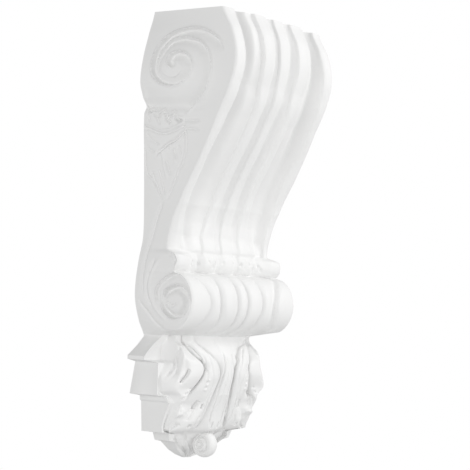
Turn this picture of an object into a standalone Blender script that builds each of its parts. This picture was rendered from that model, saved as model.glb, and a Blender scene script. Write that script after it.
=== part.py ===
"""A cast scroll corbel: five ridges run down an S-shaped front to a reeded roll, a volute, an
acanthus leaf and a second volute lie on each side, and a leafy pendant closes it below.

The carving is drawn on a sheet whose unit is one 440th of the height, one 102nd of the
stand-off and one 84th of the half width. place() turns sheet units into metres.
X runs along the wall, -Y away from it, Z up. The origin is the middle of the flat back.
"""

import math

import bmesh
import bpy
from mathutils import Vector

HEIGHT = 0.500  # overall, top face to the lowest point
WIDTH = 0.192  # across the ridged front
STANDOFF = 0.116  # from the wall to the outer beads at their fullest
SHEET_HEIGHT = 440.0
SHEET_HALF_WIDTH = 84.0
SHEET_STANDOFF = 102.0

CAST_COLOUR = (0.86, 0.86, 0.85, 1.0)
CAST_ROUGHNESS = 0.55

BODY_NAME = "corbel"
SIDE_COLUMNS = 6
RIB_RESOLUTION = 1  # six sides on each carved rib
POINTS_PER_TURN = 13  # of a volute

# Height and stand-off of the outer beads down the S-shaped front, then the drop to the roll.
FRONT_CURVE = [
    (440, 83.5), (418, 95.5), (394, 102), (370, 98.5), (338, 85), (296, 66),
    (252, 43.8), (226, 34), (209, 31.5),
]
EAR_CENTRE = (196, 35)  # height and stand-off of the small curls above the roll
EAR_RADIUS = 12.5
ROLL_CENTRE = (157, 40)
ROLL_RADII = (29, 26.5)  # upright and outward
ROLL_FOOT = 130
NECK_HEIGHT = 124  # the pendant begins here

# Height and half width along the wall: top block, shaft, lower volute and neck.
WALL_CURVE = [
    (440, 84), (416, 91.5), (390, 98.5), (368, 100.5), (354, 95), (346, 89), (338, 92),
    (303, 89.5), (254, 85.5), (218, 84), (195, 89), (172, 92), (156, 91), (137, 84), (121, 74.5),
]
# The pendant's edge along the wall: flared cyma, lip, two blocks with fillets, rounded foot.
PENDANT_WALL = [
    (124, 74.5), (121, 75.5), (113.7, 83.5), (108, 91), (103, 98), (99.5, 98), (97, 86), (66, 92),
    (64, 76.5), (60, 76), (58.5, 74), (29, 71), (27, 53.5), (19.5, 50), (17.6, 40), (9, 28),
    (3.6, 16.5), (0, 5),
]
# Stand-off of the front corners of those blocks.
BLOCK_OUT = [
    (124, 21), (113.7, 17), (108, 17.5), (103, 19), (99.5, 19), (97, 27), (66, 28.5), (64, 32),
    (60, 33), (58.5, 34), (46, 27.5), (36, 24), (29, 24), (27, 19), (19.5, 18), (17.6, 17),
    (9, 12), (3.6, 7.5), (0, 3),
]
# Front corner against wall edge, by height.
BLOCK_TAPER = [(124, 0.975), (97, 0.975), (66, 0.925), (64, 0.975), (0, 0.975)]

# The leaf over the pendant, by height. Stand-offs: middle rib, inner lobe, outer lobe, fold, edge.
RIB_OUT = [
    (124, 38), (114, 44), (100, 51), (86, 52), (66, 47), (57, 43), (45, 39), (36, 37), (30, 34),
    (26, 24), (19.5, 16), (9, 12.5), (0, 3.5),
]
INNER_OUT = [
    (124, 36.5), (118, 37), (113, 41), (105, 47), (98, 50.5), (86, 51), (74, 47.5), (62, 43.5),
    (50, 39.5), (40, 36.5), (34, 33), (30, 28), (26, 19), (19.5, 15), (9, 12), (0, 3.5),
]
OUTER_OUT = [
    (124, 27), (118, 28), (113, 34), (107, 39), (100, 46), (93, 48), (86, 48), (80, 46), (72, 42.5),
    (62, 42), (57, 39), (50, 37), (47, 37), (43, 33), (35, 29), (30, 26), (26, 17), (19.5, 14),
    (0, 3),
]
FOLD_OUT = [
    (124, 25), (118, 28), (110, 37), (102, 41), (93, 42), (83, 42), (76, 41), (66, 40), (59, 37),
    (54, 33.5), (46, 27.5), (36, 24), (30, 24), (26, 17), (0, 3),
]
EDGE_OUT = [
    (124, 20), (118, 21), (108, 21.5), (100, 22), (97, 27), (90, 28.5), (84, 30), (78, 31),
    (70, 31.5), (66, 31), (62, 34), (58, 34.5), (46, 27), (36, 22), (30, 22), (26, 16), (0, 3),
]
# Distances from the middle: rib edge, inner cut, outer cut, fold and edge.
RIB_HALF = [(124, 15), (114, 14), (100, 9), (86, 8), (66, 10), (45, 13), (30, 12), (26, 10), (0, 1)]
INNER_CUT = [
    (124, 42), (118, 38), (111, 29), (101, 17.5), (90, 12.5), (74, 13.5), (58, 16), (45, 18.5),
    (34, 23), (28, 24), (19.5, 16), (0, 1.6),
]
OUTER_CUT = [
    (124, 49), (118, 49), (113, 49), (105, 44), (93.5, 36), (81, 41), (70, 48.5), (60.5, 55),
    (54, 55), (50, 54), (43, 60), (35, 61), (30, 59), (26, 36), (19.5, 27), (0, 2.6),
]
LOWER_CUT = [
    (90, 34), (80, 37), (72, 40), (66, 38), (60, 35), (51, 42), (43, 50), (35, 54), (30, 52),
    (26, 31), (19.5, 22), (0, 2.2),
]
FOLD_AT = [
    (124, 58), (118, 62), (110, 63.5), (102.7, 62.8), (93, 64.3), (83.4, 69), (76, 74), (71, 73),
    (66, 66), (59, 65), (46, 64.5), (36, 65), (31, 63), (26, 40), (19.5, 34), (0, 3.6),
]
EDGE_AT = [
    (124, 61), (118, 65), (109, 67.5), (100, 71), (96, 75), (90, 79.5), (84, 82.5), (78, 83),
    (70, 81), (66, 73), (62, 68), (58, 67.5), (46, 67.5), (36, 67), (30, 65), (26, 43), (19.5, 40), (0, 4.2),
]
INNER_DEPTH = [(124, 1), (113, 3.5), (104, 5), (35, 4.5), (28, 1), (24, 0)]
OUTER_DEPTH = [(124, 1), (113, 3.5), (104, 5.5), (62, 5.5), (55, 3), (50, 0)]
LOWER_DEPTH = [(72, 0), (62, 1.5), (56, 3.5), (35, 3.5), (28, 0.5), (24, 0)]
CUT_HALF = 3.2
TIP_CENTRE = (24.5, 15)  # stand-off and height of the rolled leaf tip
TIP_RADIUS = 13.0
TIP_HALF = 6.5

# Down the ridged front, by height: distances of the shoulders of middle rib, ridges and outer
# beads from the middle, then how far these and the cove between stand off the bead's face.
RIB_TO = [(440, 7.5), (385, 7), (355, 5.4), (280, 5.2), (250, 6.1), (222, 7.5)]
RIDGE_FROM = 21
RIDGE_TO = [
    (440, 40), (415, 38.6), (385, 36.6), (370, 34.2), (355, 32.3), (340, 30.5), (265, 30.4),
    (250, 31.5), (235, 34.6), (222, 38.5),
]
BEAD_FROM = [(440, 68), (385, 68.4), (355, 70.7), (310, 72.6), (280, 71.2), (250, 73), (222, 70)]
RIB_LIFT = [
    (440, 5), (415, 1.7), (400, -1.5), (377, -3.1), (355, -0.9), (310, -2.4), (288, -3.6),
    (265, -2), (235, 1.5), (222, 4.5), (209, 8.5),
]
RIDGE_LIFT = [
    (440, 5.5), (430, 5.3), (415, 3.8), (400, 1.5), (385, -0.6), (370, -1.7), (355, 0.4),
    (340, 0.9), (310, -0.9), (288, -2.1), (265, -1.1), (235, 2.4), (222, 5.2), (209, 9.5),
]
BEAD_LIFT = [
    (440, 1.5), (415, 0), (370, -0.2), (355, 1.2), (325, 0.3), (303, -2.1), (285, -2.8),
    (265, -0.8), (235, 2.6), (209, 4.5),
]
COVE_LIFT = [
    (440, -5), (415, -9), (400, -11), (350, -12), (300, -12), (280, -11), (250, -8), (222, -3),
    (209, 2),
]
CRISPNESS = [(440, 1.1), (360, 1.3), (280, 1.4), (250, 1.2), (222, 0.8)]  # of the ridges' flanks

# Across half the curls and the roll: distance from the middle and relief over the bead's face.
CURL_STATIONS = [
    (0, -4), (6, -4.6), (11, -6.6), (15.5, -8), (20, -6.4), (23, -5), (31, -4), (38, -5),
    (42, -7), (48, -9.5), (54, -9), (60, -6), (66.5, -2.6), (75, 0.5), (83.5, 0), (87, -1.5),
]
ROLL_STATIONS = [
    (0, 0.2), (5, -0.8), (8.6, -3.8), (12, -1.2), (21.5, 0.2), (31, -1.6), (35, -5), (39, -2.4),
    (44, -1.8), (49, -3.4), (52, -4.2), (56, 0.2), (60, 1.1), (70, 1.2), (82, 0.5), (86, -1),
]
REED_EDGE = 35
REEL_EDGE = 52
# Where the outer reel of the roll begins, by height: it swells towards the middle of the roll.
REEL_FROM = [
    (190, 74), (183, 71), (175, 62), (165, 56), (155, 53.5), (146, 56), (138, 61), (130, 68),
]

# On the side faces, as stand-off and height.
UPPER_EYE = (39, 385)
UPPER_RADIUS = 51
UPPER_RIB = (2.6, 1.4)  # radius of the carved rib at its start and end
LOWER_EYE = (41, 156)
LOWER_RADIUS = 19.5
LOWER_RIB = (1.4, 1.8)
VOLUTE_STEM = [
    (44, 333), (56, 345), (68, 358), (75, 374), (74, 391), (63, 405), (47, 411), (32, 409), (20, 400),
]
STEM_RIB = (1.2, 2.2)
LOWER_BAND = [(27, 250), (18, 238), (13, 222), (11, 205), (11, 190), (13, 176), (16, 163)]
SIDE_LEAVES = [
    [(46, 328), (33, 333), (20, 339), (3, 344)],
    [(46, 326), (31, 323), (17, 324), (3, 328)],
    [(46, 323), (34, 314), (20, 309), (3, 309)],
    [(47, 321), (36, 305), (22, 292), (6, 288)],
    [(48, 322), (44, 300), (35, 280), (27, 256)],
    [(40, 308), (28, 292), (20, 276), (17, 262)],
    [(44, 327), (54, 327), (65, 327)],
]
LEAF_RIBS = [4.0, 4.4, 4.6, 4.6, 5.0, 3.8, 2.0]  # fullest radius of each blade, then of the tie
LEAF_POINT = 0.8  # radius at a blade's ends

CURLS_BEGIN = (208, 202)  # heights over which the ridges turn into the curls
ROLL_BEGINS = (188, 183)  # heights over which the curls turn into the roll

# Heights of the rows of the console, then of the pendant.
CONSOLE_ROWS = [
    440, 428.5, 417, 405.5, 394, 382.5, 371, 359.5, 348, 338, 320.5, 303, 285.5, 268, 250.5, 233,
    216, 212, 208.3, 205, 201, 196, 191, 187.5, 184.8, 180, 174, 167, 160, 153, 146, 139.5, 134, 130,
]
PENDANT_ROWS = [
    127, 124, 121, 117, 113.7, 108, 103, 99.5, 97, 91, 85, 79, 72, 66, 64, 60, 58.5, 53, 48, 44, 39,
    34, 31, 29, 27, 19.5, 17.6, 13, 9, 3.6, 0,
]


def place(across, out, up):
    """Sheet units to metres, with the origin in the middle of the back."""
    return Vector((
        across * WIDTH / 2 / SHEET_HALF_WIDTH,
        -out * STANDOFF / SHEET_STANDOFF,
        (up / SHEET_HEIGHT - 0.5) * HEIGHT,
    ))


def blend(start, end, value):
    """A smooth step from 0 at start to 1 at end, which may lie above or below it."""
    t = min(1.0, max(0.0, (value - start) / (end - start)))
    return t * t * (3 - 2 * t)


def straight(knots, up):
    """Straight runs through (height, value) knots that fall in height."""
    for (high, a), (low, b) in zip(knots, knots[1:]):
        if up >= low:
            return a + (b - a) * min(1.0, max(0.0, (high - up) / (high - low)))
    return knots[-1][1]


def smooth(knots, up):
    """A smooth curve through (height, value) knots that fall in height."""
    spots = [knots[0]] + list(knots) + [knots[-1]]
    for i in range(1, len(spots) - 2):
        high, low = spots[i][0], spots[i + 1][0]
        if up >= low:
            t = min(1.0, max(0.0, (high - up) / (high - low)))
            before, a, b, after = (spots[i + k][1] for k in (-1, 0, 1, 2))
            bend = (2 * before - 5 * a + 4 * b - after) * t * t
            turn = (3 * a - before - 3 * b + after) * t * t * t
            return 0.5 * (2 * a + (b - before) * t + bend + turn)
    return knots[-1][1]


def bulge(centre, radius_up, radius_out, up):
    """Stand-off of a round roll at a height, or of its centre above and below it."""
    t = min(1.0, abs(up - centre[0]) / radius_up)
    return centre[1] + radius_out * math.sqrt(1 - t * t)


def wall_half(up):
    """Half width along the wall at a height."""
    return smooth(WALL_CURVE, up) if up >= NECK_HEIGHT else straight(PENDANT_WALL, up)


def ridges(up):
    """Across and relief of half the ridged front: rib, small cove, ridge, cove and bead."""
    rib, ridge, bead, cove = (
        smooth(lift, up) for lift in (RIB_LIFT, RIDGE_LIFT, BEAD_LIFT, COVE_LIFT)
    )
    half, far, near = (smooth(k, up) for k in (RIB_TO, RIDGE_TO, BEAD_FROM))
    crisp = straight(CRISPNESS, up)
    return [
        (0, rib + 0.9 * crisp), (half, rib), (half + 1.6, rib - 2 * crisp),
        ((half + RIDGE_FROM) / 2, min(rib, ridge) - 3 * crisp),
        (RIDGE_FROM - 1.6, ridge - 2.2 * crisp), (RIDGE_FROM, ridge),
        ((RIDGE_FROM + far) / 2, ridge + 1.4), (far, ridge),
        (far + 2.2, ridge - 3.2 * crisp), (far * 0.65 + near * 0.35, ridge - 3.2 * crisp - 1),
        (near - 10, min(cove, ridge - 3.2 * crisp - 1.5)), (near - 2.5, bead - 3.6 * crisp),
        (near, bead), (near + 6, 1.4 + 0.4 * bead), (82, 0.3), (84, -1.5),
    ]


def roll_across(across, up):
    """Where a station of the roll lies at a height, as its outer reel swells and narrows."""
    reel = smooth(REEL_FROM, up)
    if across <= REED_EDGE:
        return across
    if across <= REEL_EDGE:
        return REED_EDGE + (across - REED_EDGE) * (reel - REED_EDGE) / (REEL_EDGE - REED_EDGE)
    foot = ROLL_STATIONS[-1][0]
    return reel + (across - REEL_EDGE) * (foot - reel) / (foot - REEL_EDGE)


def console_front(up):
    """Across and stand-off of the console's front at a height, from the middle to its edge."""
    drop = smooth(FRONT_CURVE, up)
    ear = bulge(EAR_CENTRE, EAR_RADIUS, EAR_RADIUS, up)
    roll = bulge(ROLL_CENTRE, ROLL_RADII[0], ROLL_RADII[1], up)
    curls = [(across, ear + relief) for across, relief in CURL_STATIONS]
    reeds = [(roll_across(across, up), roll + relief) for across, relief in ROLL_STATIONS]
    line = [(across, drop + relief) for across, relief in ridges(up)]
    for weight, rows in ((blend(*CURLS_BEGIN, up), curls), (blend(*ROLL_BEGINS, up), reeds)):
        line = [
            (a[0] + (b[0] - a[0]) * weight, a[1] + (b[1] - a[1]) * weight)
            for a, b in zip(line, rows)
        ]
    return line


def leaf_front(up):
    """Across and stand-off of the pendant's front: rib, two lobes between cuts, fold and block."""
    rib, inner, outer = (smooth(k, up) for k in (RIB_OUT, INNER_OUT, OUTER_OUT))
    half, cut, second = (smooth(k, up) for k in (RIB_HALF, INNER_CUT, OUTER_CUT))
    fold, edge = smooth(FOLD_AT, up), smooth(EDGE_AT, up)
    depth = straight(INNER_DEPTH, up)
    block, corner = straight(BLOCK_OUT, up), wall_half(up) * straight(BLOCK_TAPER, up)
    near = min(CUT_HALF, (cut - half) * 0.6, (second - cut) * 0.25)
    far = min(CUT_HALF, (fold - second) * 0.35, (second - cut) * 0.25)
    step = min(1.5, (corner - edge) * 0.3)
    third = smooth(LOWER_CUT, up) if up < LOWER_CUT[0][0] else second - far
    flank = inner * 0.7 + outer * 0.3 - 0.5 - straight(LOWER_DEPTH, up)
    return [
        (0, rib), (half * 0.6, rib - 0.8), (half, (rib + inner) / 2 - depth * 0.3),
        (cut, inner - depth), (cut + near, inner - 0.8), ((cut + third) / 2, inner + 0.8),
        (third, flank), (second, outer - straight(OUTER_DEPTH, up)),
        (second + far, outer), (second + (fold - second) * 0.7, outer),
        (fold, straight(FOLD_OUT, up)), (edge, straight(EDGE_OUT, up)),
        (edge + step, block + 0.6), (edge + (corner - edge) * 0.5, block + 0.4),
        (edge + (corner - edge) * 0.8, block + 0.2), (corner, block),
    ]


def front(up):
    """Across and stand-off of the whole front at a height."""
    if up >= ROLL_FOOT:
        return console_front(up)
    if up <= NECK_HEIGHT:
        return leaf_front(up)
    share = (ROLL_FOOT - up) / (ROLL_FOOT - NECK_HEIGHT)
    pairs = zip(console_front(ROLL_FOOT), leaf_front(NECK_HEIGHT))
    return [(a[0] + (b[0] - a[0]) * share, a[1] + (b[1] - a[1]) * share) for a, b in pairs]


def side_across(edge, share, up):
    """Distance of the side face from the middle, a share of the way from front to wall."""
    return edge + (wall_half(up) - edge) * blend(0, 0.9, share)


def half_section(up):
    """Half of the outline at a height, from the middle of the front round to the wall."""
    line = front(up)
    points = [place(across, out, up) for across, out in line]
    edge, out = line[-1]
    for i in range(1, SIDE_COLUMNS + 1):
        share = i / SIDE_COLUMNS
        points.append(place(side_across(edge, share, up), out * (1 - share), up))
    points.append(place(0, 0, up))
    return points


def side_point(out, up, lift):
    """A point on the side face, lifted off it or sunk below it, in sheet units."""
    edge, reach = front(up)[-1]
    return side_across(edge, 1 - out / reach, up) + lift, out, up


def spiral(centre, start, turns, radius, shrink):
    """Points of a volute that winds in against the clock, as stand-off and height."""
    count = round(POINTS_PER_TURN * turns)
    for i in range(count + 1):
        angle = start + 2 * math.pi * turns * i / count
        reach = radius * math.exp(-shrink * (angle - start))
        yield centre[0] + reach * math.cos(angle), centre[1] + reach * math.sin(angle)


def swell(share, thin, full):
    """Radius of a leaf's rib along its length: thin ends and a full middle."""
    return thin + (full - thin) * math.sin(math.pi * min(1.0, share * 1.15)) ** 0.7


def carve(name, spots, radii, cutters, hands=(1, -1)):
    """A rib of carving through sheet points, on both sides or only on one."""
    for hand in hands:
        data = bpy.data.curves.new(name, "CURVE")
        data.dimensions = "3D"
        data.bevel_depth = HEIGHT / SHEET_HEIGHT
        data.bevel_resolution = RIB_RESOLUTION
        data.use_fill_caps = True
        line = data.splines.new("POLY")
        line.points.add(len(spots) - 1)
        for point, (across, out, up), radius in zip(line.points, spots, radii):
            point.co = (*place(across * hand, out, up), 1)
            point.radius = radius
        rod = bpy.data.objects.new(name, data)
        bpy.context.scene.collection.objects.link(rod)
        bpy.context.view_layer.update()
        seen = rod.evaluated_get(bpy.context.evaluated_depsgraph_get())
        mesh = bpy.data.meshes.new_from_object(seen)
        tool = bpy.data.objects.new(name, mesh)
        tool.matrix_world = rod.matrix_world
        bpy.data.objects.remove(rod)
        weld = bmesh.new()
        weld.from_mesh(mesh)
        bmesh.ops.remove_doubles(weld, verts=weld.verts, dist=0.00002)
        bmesh.ops.recalc_face_normals(weld, faces=weld.faces)
        weld.to_mesh(mesh)
        weld.free()
        hide_tool(tool, cutters)


def hide_tool(tool, cutters):
    """Keep a carving tool out of the picture, in the collection of tools."""
    tool.hide_render = True
    tool.display_type = "WIRE"
    cutters.objects.link(tool)


def carve_sides(cutters):
    """Volutes, the band between them and the acanthus leaf on each side face."""
    upper = list(spiral(UPPER_EYE, 0.26, 1.62, UPPER_RADIUS, 0.18))
    lower = LOWER_BAND + list(spiral(LOWER_EYE, 3.6, 1.2, LOWER_RADIUS, 0.14))
    rows = [
        ("upper volute", upper, UPPER_RIB),
        ("volute stem", VOLUTE_STEM, STEM_RIB),
        ("lower volute", lower, LOWER_RIB),
    ]
    for name, path, (first, last) in rows:
        spots = [side_point(out, up, 0.4) for out, up in path]
        steps = len(spots) - 1
        radii = [first + (last - first) * i / steps for i in range(steps + 1)]
        carve(name, spots, radii, cutters)
    for path, full in zip(SIDE_LEAVES, LEAF_RIBS):
        spots = [side_point(out, up, 0.5 - 0.45 * full) for out, up in path]
        radii = [swell(i / (len(spots) - 1), LEAF_POINT, full) for i in range(len(spots))]
        carve("side leaf", spots, radii, cutters)


def roll_tip(cutters):
    """The rolled tip of the pendant's leaf, a short drum along the wall."""
    shape = bmesh.new()
    unit = HEIGHT / SHEET_HEIGHT
    bmesh.ops.create_cone(
        shape, cap_ends=True, segments=14, radius1=TIP_RADIUS * unit, radius2=TIP_RADIUS * unit,
        depth=2 * TIP_HALF * unit,
    )
    rims = [e for e in shape.edges if abs(e.verts[0].co.z - e.verts[1].co.z) < unit * 0.1]
    bmesh.ops.bevel(
        shape, geom=rims, offset=3 * unit, segments=2, profile=0.5, affect="EDGES", material=-1,
    )
    mesh = bpy.data.meshes.new("rolled tip")
    shape.to_mesh(mesh)
    shape.free()
    tool = bpy.data.objects.new("rolled tip", mesh)
    tool.rotation_euler = (0, math.pi / 2, 0)
    tool.location = place(0, *TIP_CENTRE)
    hide_tool(tool, cutters)


def build_body(cutters):
    """The loft of half outlines, mirrored in the middle plane, with the carving joined to it."""
    mesh = bpy.data.meshes.new(BODY_NAME)
    shape = bmesh.new()
    rows = CONSOLE_ROWS + PENDANT_ROWS
    rings = [[shape.verts.new(p) for p in half_section(up)] for up in rows]
    for upper, lower in zip(rings, rings[1:]):
        for i in range(len(upper) - 1):
            shape.faces.new((upper[i], upper[i + 1], lower[i + 1], lower[i]))
    shape.faces.new(rings[0])
    shape.faces.new(list(reversed(rings[-1])))
    bmesh.ops.recalc_face_normals(shape, faces=shape.faces)
    shape.to_mesh(mesh)
    shape.free()
    body = bpy.data.objects.new(BODY_NAME, mesh)
    mirror = body.modifiers.new("mirror", "MIRROR")
    mirror.use_axis[0] = True
    mirror.use_clip = True
    mirror.merge_threshold = 0.00005
    for tool in cutters.objects:
        join = body.modifiers.new(tool.name, "BOOLEAN")
        join.operation = "UNION"
        join.solver = "EXACT"
        join.object = tool
    return body


def main():
    for old in list(bpy.data.objects):
        bpy.data.objects.remove(old)
    parts = bpy.data.collections.new("Corbel")
    bpy.context.scene.collection.children.link(parts)
    cast = bpy.data.materials.new("white cast")
    cast.use_nodes = True
    shader = cast.node_tree.nodes["Principled BSDF"]
    shader.inputs["Base Color"].default_value = CAST_COLOUR
    shader.inputs["Roughness"].default_value = CAST_ROUGHNESS
    carving = bpy.data.collections.new("Carving tools")
    bpy.context.scene.collection.children.link(carving)
    carve_sides(carving)
    roll_tip(carving)
    body = build_body(carving)
    body.data.materials.append(cast)
    parts.objects.link(body)


main()
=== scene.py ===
"""Looks of the cast scroll corbel: the carved casting in white primer, on a plain studio stage.

The casting is drawn on a sheet whose unit is one 440th of the height, one 102nd of the stand-off
and one 84th of the half width. X runs along the wall, -Y away from it, Z up. Each half of the
casting is one grid that is moved into place, mirrored and closed.
"""

import math

import bmesh
import bpy
import numpy as np
from bpy.props import FloatProperty, FloatVectorProperty, IntProperty, PointerProperty
from mathutils import Matrix, Vector


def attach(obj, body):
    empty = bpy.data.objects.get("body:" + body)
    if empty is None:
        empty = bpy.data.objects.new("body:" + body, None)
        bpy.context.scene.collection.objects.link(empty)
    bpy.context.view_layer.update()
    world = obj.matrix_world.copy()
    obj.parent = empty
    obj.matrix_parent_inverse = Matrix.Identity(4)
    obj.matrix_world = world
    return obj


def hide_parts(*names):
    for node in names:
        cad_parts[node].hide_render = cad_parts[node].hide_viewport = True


bl_info = {
    "name": "Scroll Corbel",
    "version": (1, 0, 0),
    "blender": (4, 5, 0),
    "location": "View3D > Sidebar > Corbel",
    "description": "Carves a cast corbel with a ridged front, side volutes and a leafy pendant",
    "category": "Object",
}

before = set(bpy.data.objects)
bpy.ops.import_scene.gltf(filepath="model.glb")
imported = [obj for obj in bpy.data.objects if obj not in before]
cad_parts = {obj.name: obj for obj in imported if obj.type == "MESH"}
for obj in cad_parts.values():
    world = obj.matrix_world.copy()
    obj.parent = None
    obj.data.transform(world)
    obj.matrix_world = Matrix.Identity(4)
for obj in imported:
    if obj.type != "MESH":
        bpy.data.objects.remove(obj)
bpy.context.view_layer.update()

SHEET_HEIGHT = 440.0
SHEET_HALF_WIDTH = 84.0
SHEET_STANDOFF = 102.0

PENDANT_STEP = 0.6
PIECES_PER_STATION = 10
PENDANT_SIDE_COLUMNS = 30
BACK_COLUMNS = 3
ROW_CLEARANCE = 0.35  # least share of a step between an even row and a marked one
MERGE_DISTANCE = 0.000002
SEAM_MERGE_DISTANCE = 0.000001
# Angle in degrees above which an edge is shaded sharp.
SHARP_ANGLE = 50
TIP_SHARP_ANGLE = 40

# Height and stand-off of the outer beads down the S-shaped front.
FRONT_CURVE = [
    (440, 83.5), (418, 95.5), (394, 102), (370, 98.5), (338, 85), (296, 66),
    (252, 43.8), (226, 34), (209, 31.5),
]
# Height and stand-off of the centres of the curls above the roll and of the roll itself.
EAR_CENTRE = (196, 35)
EAR_RADIUS = 12.5
EAR_EDGE = 87  # half width of the front there
ROLL_CENTRE = (157, 40)
ROLL_RADII = (29, 26.5)  # upright and outward
ROLL_EDGE = 86
ROLL_FOOT = 130
NECK_HEIGHT = 124
SEAM_HEIGHT = 127  # between the console and the pendant, in the shadow under the roll

# Height and half width along the wall, of the console and of the pendant.
WALL_CURVE = [
    (440, 84), (416, 91.5), (390, 98.5), (368, 100.5), (354, 95), (346, 89), (338, 92),
    (303, 89.5), (254, 85.5), (218, 84), (195, 89), (172, 92), (156, 91), (137, 84), (121, 74.5),
]
PENDANT_WALL = [
    (124, 74.5), (121, 75.5), (113.7, 83.5), (108, 91), (103, 98), (99.5, 98), (97, 86), (66, 92),
    (64, 76.5), (60, 76), (58.5, 74), (29, 71), (27, 53.5), (19.5, 50), (17.6, 40), (9, 28),
    (3.6, 16.5), (0, 5),
]
SIDE_FLARE = 0.9  # share of the way to the wall where the side reaches its full width
# Stand-off of the front corners of the pendant's blocks, and these against the wall's edge.
BLOCK_OUT = [
    (124, 21), (113.7, 17), (108, 17.5), (103, 19), (99.5, 19), (97, 27), (66, 28.5), (64, 32),
    (60, 33), (58.5, 34), (46, 27.5), (36, 24), (29, 24), (27, 19), (19.5, 18), (17.6, 17),
    (9, 12), (3.6, 7.5), (0, 3),
]
BLOCK_TAPER = [(124, 0.975), (97, 0.975), (66, 0.925), (64, 0.975), (0, 0.975)]

# The leaf over the pendant, by height. Stand-offs: middle rib, inner lobe, outer lobe, fold, edge.
RIB_OUT = [
    (124, 38), (114, 44), (100, 51), (86, 52), (66, 47), (57, 43), (45, 39), (36, 37), (30, 34),
    (26, 24), (19.5, 16), (9, 12.5), (0, 3.5),
]
INNER_OUT = [
    (124, 36.5), (118, 37), (113, 41), (105, 47), (98, 50.5), (86, 51), (74, 47.5), (62, 43.5),
    (50, 39.5), (40, 36.5), (34, 33), (30, 28), (26, 19), (19.5, 15), (9, 12), (0, 3.5),
]
OUTER_OUT = [
    (124, 27), (118, 28), (113, 34), (107, 39), (100, 46), (93, 48), (86, 48), (80, 46), (72, 42.5),
    (62, 42), (57, 39), (50, 37), (47, 37), (43, 33), (35, 29), (30, 26), (26, 17), (19.5, 14),
    (0, 3),
]
FOLD_OUT = [
    (124, 25), (118, 28), (110, 37), (102, 41), (93, 42), (83, 42), (76, 41), (66, 40), (59, 37),
    (54, 33.5), (46, 27.5), (36, 24), (30, 24), (26, 17), (0, 3),
]
EDGE_OUT = [
    (124, 20), (118, 21), (108, 21.5), (100, 22), (97, 27), (90, 28.5), (84, 30), (78, 31),
    (70, 31.5), (66, 31), (62, 34), (58, 34.5), (46, 27), (36, 22), (30, 22), (26, 16), (0, 3),
]
# Distances from the middle: rib edge, the three cuts, fold and edge.
RIB_HALF = [(124, 15), (114, 14), (100, 9), (86, 8), (66, 10), (45, 13), (30, 12), (26, 10), (0, 1)]
INNER_CUT = [
    (124, 42), (118, 38), (111, 29), (101, 17.5), (90, 12.5), (74, 13.5), (58, 16), (45, 18.5),
    (34, 23), (28, 24), (19.5, 16), (0, 1.6),
]
OUTER_CUT = [
    (124, 49), (118, 49), (113, 49), (105, 44), (93.5, 36), (81, 41), (70, 48.5), (60.5, 55),
    (54, 55), (50, 54), (43, 60), (35, 61), (30, 59), (26, 36), (19.5, 27), (0, 2.6),
]
LOWER_CUT = [
    (90, 34), (80, 37), (72, 40), (66, 38), (60, 35), (51, 42), (43, 50), (35, 54), (30, 52),
    (26, 31), (19.5, 22), (0, 2.2),
]
FOLD_AT = [
    (124, 58), (118, 62), (110, 63.5), (102.7, 62.8), (93, 64.3), (83.4, 69), (76, 74), (71, 73),
    (66, 66), (59, 65), (46, 64.5), (36, 65), (31, 63), (26, 40), (19.5, 34), (0, 3.6),
]
EDGE_AT = [
    (124, 61), (118, 65), (109, 67.5), (100, 71), (96, 75), (90, 79.5), (84, 82.5), (78, 83),
    (70, 81), (66, 73), (62, 68), (58, 67.5), (46, 67.5), (36, 67), (30, 65), (26, 43),
    (19.5, 40), (0, 4.2),
]
# Depths of the cuts.
INNER_DEPTH = [(124, 1), (113, 3.5), (104, 5), (35, 4.5), (28, 1), (24, 0)]
OUTER_DEPTH = [(124, 1), (113, 3.5), (104, 5.5), (62, 5.5), (55, 3), (50, 0)]
LOWER_DEPTH = [(72, 0), (62, 1.5), (56, 3.5), (35, 3.5), (28, 0.5), (24, 0)]
CUT_HALF = 3.2
LEAF_CORNERS = (0, 3, 7, 11, 12, 15)  # stations of the leaf where its surface breaks
TIP_CENTRE = (24.5, 15)  # stand-off and height of the leaf's rolled tip
TIP_RADIUS = 13.0
TIP_RINGS = 27
TIP_TURNS = 72
# Distance from the rolled tip's eye and half its length there: boss, two turns and the rim.
TIP_FACE = [
    (0, 11), (1.6, 10.6), (2.8, 8.6), (3.6, 7.4), (4.6, 8.8), (5.8, 9), (7, 7.6), (7.8, 5.6),
    (9, 6.8), (10.4, 6.6), (11.8, 5), (12.7, 3), (13, 1.4),
]

# Down the front, by height: distances of the shoulders of middle rib, ridges and outer beads
# from the middle, then how far these shoulders and the cove between stand off the bead's face.
RIB_TO = [(440, 7.5), (385, 7), (355, 5.4), (280, 5.2), (250, 6.1), (222, 7.5)]
RIDGE_FROM = 21
RIDGE_TO = [
    (440, 40), (415, 38.6), (385, 36.6), (370, 34.2), (355, 32.3), (340, 30.5), (265, 30.4),
    (250, 31.5), (235, 34.6), (222, 38.5),
]
BEAD_FROM = [(440, 68), (385, 68.4), (355, 70.7), (310, 72.6), (280, 71.2), (250, 73), (222, 70)]
RIB_LIFT = [
    (440, 5), (415, 1.7), (400, -1.5), (377, -3.1), (355, -0.9), (310, -2.4), (288, -3.6),
    (265, -2), (235, 1.5), (222, 4.5), (209, 8.5),
]
RIDGE_LIFT = [
    (440, 5.5), (430, 5.3), (415, 3.8), (400, 1.5), (385, -0.6), (370, -1.7), (355, 0.4),
    (340, 0.9), (310, -0.9), (288, -2.1), (265, -1.1), (235, 2.4), (222, 5.2), (209, 9.5),
]
BEAD_LIFT = [
    (440, 1.5), (415, 0), (370, -0.2), (355, 1.2), (325, 0.3), (303, -2.1), (285, -2.8),
    (265, -0.8), (235, 2.6), (209, 4.5),
]
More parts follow.
